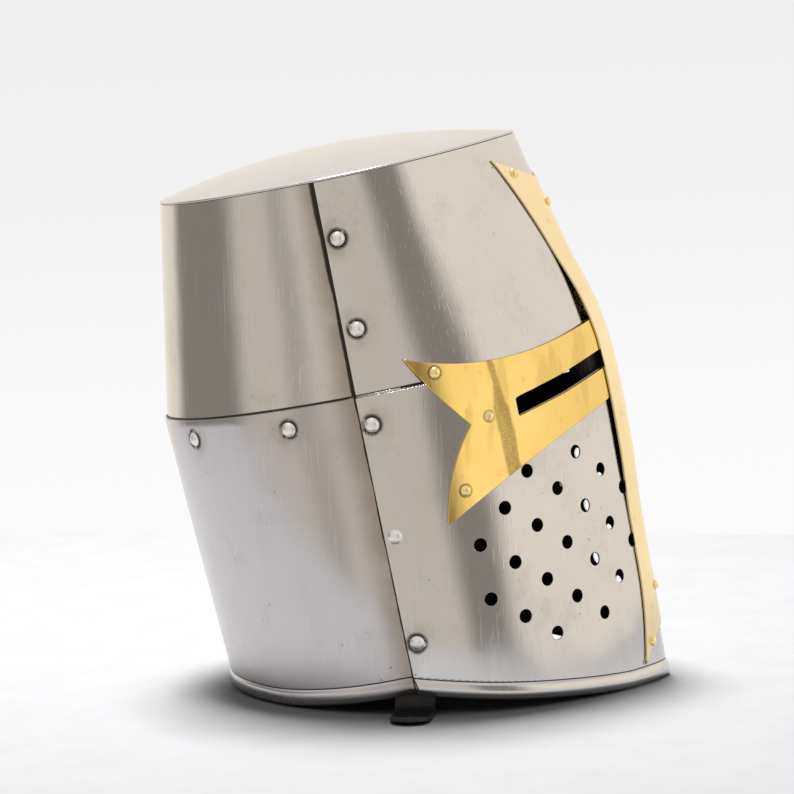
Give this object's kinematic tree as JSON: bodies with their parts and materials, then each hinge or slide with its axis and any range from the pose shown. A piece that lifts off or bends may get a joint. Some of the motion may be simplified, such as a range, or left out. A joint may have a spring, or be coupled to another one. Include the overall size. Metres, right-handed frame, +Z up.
{
  "type": "great helm",
  "caption": "Riveted steel great helm with a domed top, a brass cross with sight slits, breath holes, a leather liner and a buckled chin strap.",
  "frame": {"origin": "on the surface the helm stands on, under the middle of the neck opening", "axes": "+Z up, -Y towards the face, -X towards the wearer's right"},
  "size_m": [0.2855, 0.2834, 0.3069],
  "materials": {
    "steel": "satin, polished by hand, with grime along the seams",
    "brass": "polished sheet",
    "rivet_steel": "polished domed heads",
    "rivet_brass": "polished domed heads",
    "leather": "black, waxed",
    "liner_leather": "black, matt",
    "buckle_steel": "bent wire, satin"
  },
  "bodies": {
    "helm": {"top_plate": "steel", "upper_rear_plate": "steel", "upper_front_plate": "steel", "lower_rear_plate": "steel", "lower_front_plate": "steel", "cross_arm_right": "brass", "cross_arm_left": "brass", "cross_bar": "brass", "upper_seam_rivets_right": "rivet_steel", "upper_seam_rivets_left": "rivet_steel", "lower_seam_rivets_right": "rivet_steel", "lower_seam_rivets_left": "rivet_steel", "brow_rivets": "rivet_steel", "arm_rivets_right": "rivet_brass", "arm_rivets_left": "rivet_brass", "bar_rivets_top": "rivet_brass", "bar_rivets_bottom": "rivet_brass", "strap_rivet_right": "rivet_steel", "strap_rivet_left": "rivet_steel", "strap_spacer_right": "leather", "strap_spacer_left": "leather", "liner_headband": "liner_leather", "liner_petal_front": "liner_leather", "liner_petal_right_front": "liner_leather", "liner_petal_right_rear": "liner_leather", "liner_petal_rear": "liner_leather", "liner_petal_left_rear": "liner_leather", "liner_petal_left_front": "liner_leather", "liner_crown_patch": "liner_leather"},
    "right_strap": {"chin_strap_right": "leather"},
    "left_strap": {"chin_strap_left": "leather"},
    "right_tail": {"strap_tail_right": "leather"},
    "left_tail": {"strap_tail_left": "leather"},
    "buckle": {"buckle_frame": "buckle_steel"},
    "prong": {"buckle_prong": "buckle_steel"}
  },
  "joints": [
    {"name": "right_strap_swing", "type": "hinge", "parent": "helm", "child": "right_strap", "pos_m": [-0.0982, -0.00293, 0.09797], "axis": [1, 0, 0], "range_deg": [-6, 4]},
    {"name": "left_strap_swing", "type": "hinge", "parent": "helm", "child": "left_strap", "pos_m": [0.0982, -0.00293, 0.09797], "axis": [1, 0, 0], "range_deg": [-6, 4]},
    {"name": "right_tail_flex", "type": "hinge", "parent": "right_strap", "child": "right_tail", "pos_m": [-0.1094, -0.00293, 0.0013], "axis": [0, 1, 0], "range_deg": [0, 50]},
    {"name": "left_tail_flex", "type": "hinge", "parent": "left_strap", "child": "left_tail", "pos_m": [0.1094, -0.00293, 0.0013], "axis": [0, -1, 0], "range_deg": [0, 30]},
    {"name": "buckle_hinge", "type": "hinge", "parent": "left_tail", "child": "buckle", "pos_m": [0.1284, -0.00293, 0.00376], "axis": [0, -1, 0], "range_deg": [0, 70]},
    {"name": "prong_hinge", "type": "hinge", "parent": "buckle", "child": "prong", "pos_m": [0.1284, -0.00293, 0.00376], "axis": [0, -1, 0], "range_deg": [0, 25]}
  ]
}
